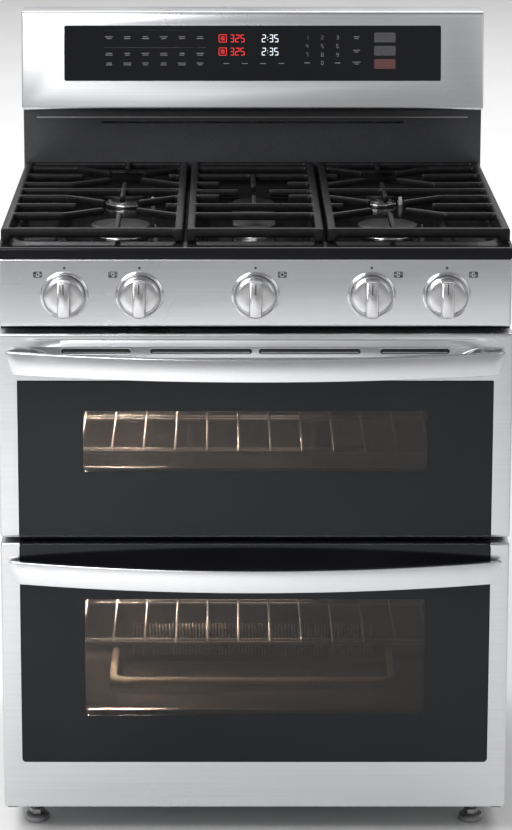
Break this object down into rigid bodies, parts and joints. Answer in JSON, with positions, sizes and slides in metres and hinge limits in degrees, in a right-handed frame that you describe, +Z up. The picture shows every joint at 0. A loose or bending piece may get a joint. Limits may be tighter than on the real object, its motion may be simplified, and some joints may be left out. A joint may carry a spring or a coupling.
{
  "type": "freestanding gas range",
  "caption": "Freestanding gas range with stacked drop-door ovens, sealed burners under iron grates, front knobs and a backguard touch console.",
  "frame": {"origin": "on the floor, under the middle of the range's outer box", "axes": "+Z up, -Y towards the person at the doors, +X to that person's right"},
  "size_m": [0.759, 0.745, 1.196],
  "materials": {
    "stainless": "fine horizontal brushing, satin",
    "handle_metal": "satin polish",
    "chrome": "polished",
    "plated_wire": "bright nickel plate",
    "cast_iron": "matte porcelain, fine grain",
    "cap_enamel": "matte black enamel",
    "black_enamel": "gloss porcelain enamel",
    "oven_enamel": "speckled porcelain enamel",
    "side_paint": "textured satin paint",
    "frame_paint": "semi-gloss paint",
    "galvanised": "galvanised sheet, faint spangle",
    "burner_aluminium": "die cast, satin",
    "black_glass": "tempered, black frit border",
    "clear_glass": "heat-reflective coating",
    "lamp_glass": "clear, ribbed",
    "ceramic": "glazed ceramic",
    "circuit_board": "solder mask",
    "blanket": "glass wool",
    "rope_gasket": "braided glass fibre",
    "gas_brass": "machined",
    "foot_metal": "black zinc"
  },
  "bodies": {
    "range_body": {"side_panels": "side_paint", "rear_panels": "galvanised", "base_frame": "galvanised", "front_frame": "frame_paint", "upper_cavity": "oven_enamel", "lower_cavity": "oven_enamel", "oven_insulation": "blanket", "door_gaskets": "rope_gasket", "cooktop_pan": "black_enamel", "burner_bases": "burner_aluminium", "burner_igniters": "ceramic", "gas_manifold": "gas_brass", "control_panel": "stainless", "knob_bezels": "chrome", "console_shell": "stainless", "console_glass": "black_glass", "display_board": "circuit_board", "riser_panel": "black_enamel", "oven_burners": "galvanised", "oven_lamps": "lamp_glass", "convection_unit": "oven_enamel", "hinge_arms": "galvanised", "panel_screws": "galvanised"},
    "upper_door": {"upper_door_skin": "stainless", "upper_door_glass": "black_glass", "upper_door_inner_glass": "clear_glass", "upper_door_liner": "oven_enamel", "upper_door_handle": "handle_metal", "upper_door_hinges": "galvanised"},
    "lower_door": {"lower_door_skin": "stainless", "lower_door_glass": "black_glass", "lower_door_inner_glass": "clear_glass", "lower_door_liner": "oven_enamel", "lower_door_handle": "handle_metal", "lower_door_hinges": "galvanised"},
    "valve_stem_1": {"valve_stem_1": "galvanised"},
    "knob_1": {"knob_1": "stainless"},
    "valve_stem_2": {"valve_stem_2": "galvanised"},
    "knob_2": {"knob_2": "stainless"},
    "valve_stem_3": {"valve_stem_3": "galvanised"},
    "knob_3": {"knob_3": "stainless"},
    "valve_stem_4": {"valve_stem_4": "galvanised"},
    "knob_4": {"knob_4": "stainless"},
    "valve_stem_5": {"valve_stem_5": "galvanised"},
    "knob_5": {"knob_5": "stainless"},
    "cap_left_front": {"cap_left_front": "cap_enamel"},
    "cap_left_rear": {"cap_left_rear": "cap_enamel"},
    "cap_oval": {"cap_oval": "cap_enamel"},
    "cap_right_front": {"cap_right_front": "cap_enamel"},
    "cap_right_rear": {"cap_right_rear": "cap_enamel"},
    "grate_left": {"grate_left": "cast_iron"},
    "grate_centre": {"grate_centre": "cast_iron"},
    "grate_right": {"grate_right": "cast_iron"},
    "upper_rack": {"upper_rack": "plated_wire"},
    "lower_rack": {"lower_rack": "plated_wire"},
    "convection_fan": {"convection_fan": "galvanised"},
    "foot_1": {"foot_1": "foot_metal"},
    "foot_2": {"foot_2": "foot_metal"},
    "foot_3": {"foot_3": "foot_metal"},
    "foot_4": {"foot_4": "foot_metal"}
  },
  "joints": [
    {"name": "upper_door_hinge", "type": "hinge", "parent": "range_body", "child": "upper_door", "pos_m": [0, -0.3005, 0.4923], "axis": [1, 0, 0], "range_deg": [0, 85]},
    {"name": "lower_door_hinge", "type": "hinge", "parent": "range_body", "child": "lower_door", "pos_m": [0, -0.3005, 0.066], "axis": [1, 0, 0], "range_deg": [0, 85]},
    {"name": "valve_1_push", "type": "slide", "parent": "range_body", "child": "valve_stem_1", "axis": [0, 1, 0], "range_m": [0, 0.003], "stiffness_N_per_m": 900, "springref_m": -0.002},
    {"name": "knob_1_turn", "type": "hinge", "parent": "valve_stem_1", "child": "knob_1", "pos_m": [-0.28, -0.32, 0.853], "axis": [0, -1, 0], "range_deg": [0, 270]},
    {"name": "valve_2_push", "type": "slide", "parent": "range_body", "child": "valve_stem_2", "axis": [0, 1, 0], "range_m": [0, 0.003], "stiffness_N_per_m": 900, "springref_m": -0.002},
    {"name": "knob_2_turn", "type": "hinge", "parent": "valve_stem_2", "child": "knob_2", "pos_m": [-0.17, -0.32, 0.853], "axis": [0, -1, 0], "range_deg": [0, 270]},
    {"name": "valve_3_push", "type": "slide", "parent": "range_body", "child": "valve_stem_3", "axis": [0, 1, 0], "range_m": [0, 0.003], "stiffness_N_per_m": 900, "springref_m": -0.002},
    {"name": "knob_3_turn", "type": "hinge", "parent": "valve_stem_3", "child": "knob_3", "pos_m": [0, -0.32, 0.853], "axis": [0, -1, 0], "range_deg": [0, 270]},
    {"name": "valve_4_push", "type": "slide", "parent": "range_body", "child": "valve_stem_4", "axis": [0, 1, 0], "range_m": [0, 0.003], "stiffness_N_per_m": 900, "springref_m": -0.002},
    {"name": "knob_4_turn", "type": "hinge", "parent": "valve_stem_4", "child": "knob_4", "pos_m": [0.17, -0.32, 0.853], "axis": [0, -1, 0], "range_deg": [0, 270]},
    {"name": "valve_5_push", "type": "slide", "parent": "range_body", "child": "valve_stem_5", "axis": [0, 1, 0], "range_m": [0, 0.003], "stiffness_N_per_m": 900, "springref_m": -0.002},
    {"name": "knob_5_turn", "type": "hinge", "parent": "valve_stem_5", "child": "knob_5", "pos_m": [0.28, -0.32, 0.853], "axis": [0, -1, 0], "range_deg": [0, 270]},
    {"name": "cap_left_front_lift", "type": "slide", "parent": "range_body", "child": "cap_left_front", "axis": [0, 0, 1], "range_m": [0, 0.015]},
    {"name": "cap_left_rear_lift", "type": "slide", "parent": "range_body", "child": "cap_left_rear", "axis": [0, 0, 1], "range_m": [0, 0.015]},
    {"name": "cap_oval_lift", "type": "slide", "parent": "range_body", "child": "cap_oval", "axis": [0, 0, 1], "range_m": [0, 0.015]},
    {"name": "cap_right_front_lift", "type": "slide", "parent": "range_body", "child": "cap_right_front", "axis": [0, 0, 1], "range_m": [0, 0.015]},
    {"name": "cap_right_rear_lift", "type": "slide", "parent": "range_body", "child": "cap_right_rear", "axis": [0, 0, 1], "range_m": [0, 0.015]},
    {"name": "grate_left_lift", "type": "slide", "parent": "range_body", "child": "grate_left", "axis": [0, 0, 1], "range_m": [0, 0.08]},
    {"name": "grate_centre_lift", "type": "slide", "parent": "range_body", "child": "grate_centre", "axis": [0, 0, 1], "range_m": [0, 0.08]},
    {"name": "grate_right_lift", "type": "slide", "parent": "range_body", "child": "grate_right", "axis": [0, 0, 1], "range_m": [0, 0.08]},
    {"name": "upper_rack_slide", "type": "slide", "parent": "range_body", "child": "upper_rack", "axis": [0, -1, 0], "range_m": [0, 0.022]},
    {"name": "lower_rack_slide", "type": "slide", "parent": "range_body", "child": "lower_rack", "axis": [0, -1, 0], "range_m": [0, 0.022]},
    {"name": "convection_fan_spin", "type": "hinge", "parent": "range_body", "child": "convection_fan", "pos_m": [0, 0.2, 0.234], "axis": [0, 1, 0], "continuous": true},
    {"name": "foot_1_level", "type": "slide", "parent": "range_body", "child": "foot_1", "axis": [0, 0, -1], "range_m": [0, 0.03]},
    {"name": "foot_2_level", "type": "slide", "parent": "range_body", "child": "foot_2", "axis": [0, 0, -1], "range_m": [0, 0.03]},
    {"name": "foot_3_level", "type": "slide", "parent": "range_body", "child": "foot_3", "axis": [0, 0, -1], "range_m": [0, 0.03]},
    {"name": "foot_4_level", "type": "slide", "parent": "range_body", "child": "foot_4", "axis": [0, 0, -1], "range_m": [0, 0.03]}
  ]
}
